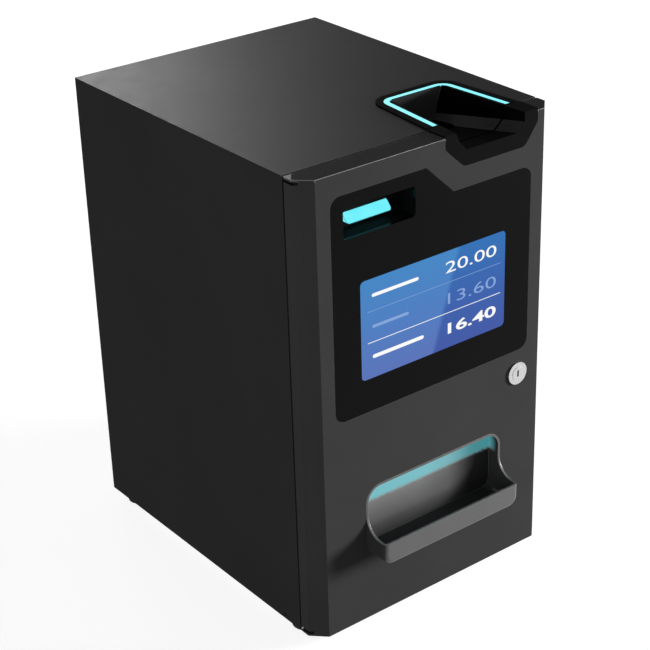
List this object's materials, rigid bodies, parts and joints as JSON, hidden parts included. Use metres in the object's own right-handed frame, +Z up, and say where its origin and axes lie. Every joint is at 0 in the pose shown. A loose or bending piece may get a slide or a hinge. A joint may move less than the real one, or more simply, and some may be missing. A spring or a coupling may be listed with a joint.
{
  "type": "coin changer dispenser",
  "caption": "Counter-top cabinet with a hinged door that takes coins and notes, shows amounts on a screen and pays change into a tray.",
  "frame": {"origin": "on the floor under the middle of the whole part, between the tray's lip and the cabinet's back edge", "axes": "+Z up, the door faces -Y, +X to the right seen from the front"},
  "size_m": [0.3, 0.399, 0.4845],
  "materials": {
    "cabinet_coat": "satin black powder coat",
    "door_coat": "satin dark grey powder coat",
    "sheet_steel": "zinc-plated sheet",
    "screw_black": "black oxide",
    "plated_steel": "bright plated",
    "lock_metal": "satin chrome",
    "gloss_panel": "gloss black",
    "screen_glow": "lit blue display",
    "dark_plastic": "fine textured black",
    "tray_plastic": "satin grey",
    "light_strip": "milky diffuser, lit cyan",
    "gear_plastic": "natural acetal",
    "pinion_brass": "machined",
    "motor_can": "plated can",
    "roller_rubber": "ground rubber",
    "foot_rubber": "moulded rubber",
    "box_coat": "grey powder coat",
    "board_green": "solder-masked board"
  },
  "bodies": {
    "cabinet": {"base_plate": "sheet_steel", "base_screws": "screw_black", "board_standoffs": "sheet_steel", "cabinet_shell": "cabinet_coat", "cash_box": "box_coat", "cash_box_lid": "box_coat", "coin_exit_chute": "dark_plastic", "coin_inlet_funnel": "dark_plastic", "coin_motor": "motor_can", "coin_sensor": "dark_plastic", "coin_unit_frame": "sheet_steel", "controller_board": "board_green", "data_ports": "dark_plastic", "fan_frame": "dark_plastic", "foot_screws": "screw_black", "front_frame": "cabinet_coat", "hinge_pins": "screw_black", "hinge_plate_bottom": "cabinet_coat", "hinge_plate_top": "cabinet_coat", "hopper_base": "dark_plastic", "hopper_bowl": "dark_plastic", "inlet_light_strip": "light_strip", "lock_keeper": "sheet_steel", "motor_bracket": "sheet_steel", "note_motor": "motor_can", "note_recycler_frame": "sheet_steel", "note_unit_base": "dark_plastic", "note_unit_cover": "dark_plastic", "power_inlet": "dark_plastic", "power_supply": "dark_plastic", "rear_panel": "cabinet_coat", "rear_screws": "screw_black", "rubber_feet": "foot_rubber", "switch_housing": "dark_plastic"},
    "door": {"door_shell": "door_coat", "door_hinge_lugs": "door_coat", "display_fascia": "gloss_panel", "display_screen": "screen_glow", "display_module": "dark_plastic", "display_board": "board_green", "note_inlet_bezel": "dark_plastic", "note_inlet_light": "light_strip", "coin_inlet_collar": "dark_plastic", "coin_tray": "tray_plastic", "coin_tray_light": "light_strip", "tray_chute": "dark_plastic", "lock_housing": "lock_metal", "lock_nut": "plated_steel"},
    "lock": {"lock_plug": "lock_metal", "lock_cam": "plated_steel", "lock_cam_screw": "plated_steel"},
    "coin_disc": {"coin_disc": "plated_steel", "disc_shaft": "plated_steel", "disc_gear": "gear_plastic"},
    "pinion": {"motor_pinion": "pinion_brass"},
    "drive_roller": {"note_drive_roller": "roller_rubber"},
    "idler_roller": {"note_idler_roller": "roller_rubber"},
    "drum": {"note_drum": "gear_plastic"},
    "fan_rotor": {"fan_rotor": "dark_plastic"},
    "switch": {"power_switch": "dark_plastic"}
  },
  "joints": [
    {"name": "door_swing", "type": "hinge", "parent": "cabinet", "child": "door", "pos_m": [-0.1436, -0.1563, 0.244], "axis": [0, 0, -1], "range_deg": [0, 105]},
    {"name": "lock_turn", "type": "hinge", "parent": "door", "child": "lock", "pos_m": [0.1074, -0.1415, 0.2109], "axis": [0, -1, 0], "range_deg": [0, 90]},
    {"name": "coin_disc_spin", "type": "hinge", "parent": "cabinet", "child": "coin_disc", "pos_m": [0.07, -0.0495, 0.3235], "axis": [0, 0, 1], "continuous": true},
    {"name": "pinion_spin", "type": "hinge", "parent": "cabinet", "child": "pinion", "pos_m": [0.1105, -0.0495, 0.3045], "axis": [0, 0, 1], "continuous": true},
    {"name": "drive_roller_spin", "type": "hinge", "parent": "cabinet", "child": "drive_roller", "pos_m": [-0.065, -0.1095, 0.4314], "axis": [1, 0, 0], "continuous": true},
    {"name": "idler_roller_spin", "type": "hinge", "parent": "cabinet", "child": "idler_roller", "pos_m": [-0.065, -0.1095, 0.4476], "axis": [1, 0, 0], "continuous": true},
    {"name": "note_drum_spin", "type": "hinge", "parent": "cabinet", "child": "drum", "pos_m": [-0.065, -0.0365, 0.3235], "axis": [1, 0, 0], "continuous": true},
    {"name": "fan_spin", "type": "hinge", "parent": "cabinet", "child": "fan_rotor", "pos_m": [0.07, 0.1815, 0.3355], "axis": [0, 1, 0], "continuous": true},
    {"name": "switch_rock", "type": "hinge", "parent": "cabinet", "child": "switch", "pos_m": [-0.06, 0.1905, 0.0655], "axis": [-1, 0, 0], "range_deg": [0, 14]}
  ],
  "couplings": [
    {"joint": "pinion_spin", "follows": "coin_disc_spin", "ratio": -2.8571},
    {"joint": "idler_roller_spin", "follows": "drive_roller_spin", "ratio": -1.2857}
  ]
}
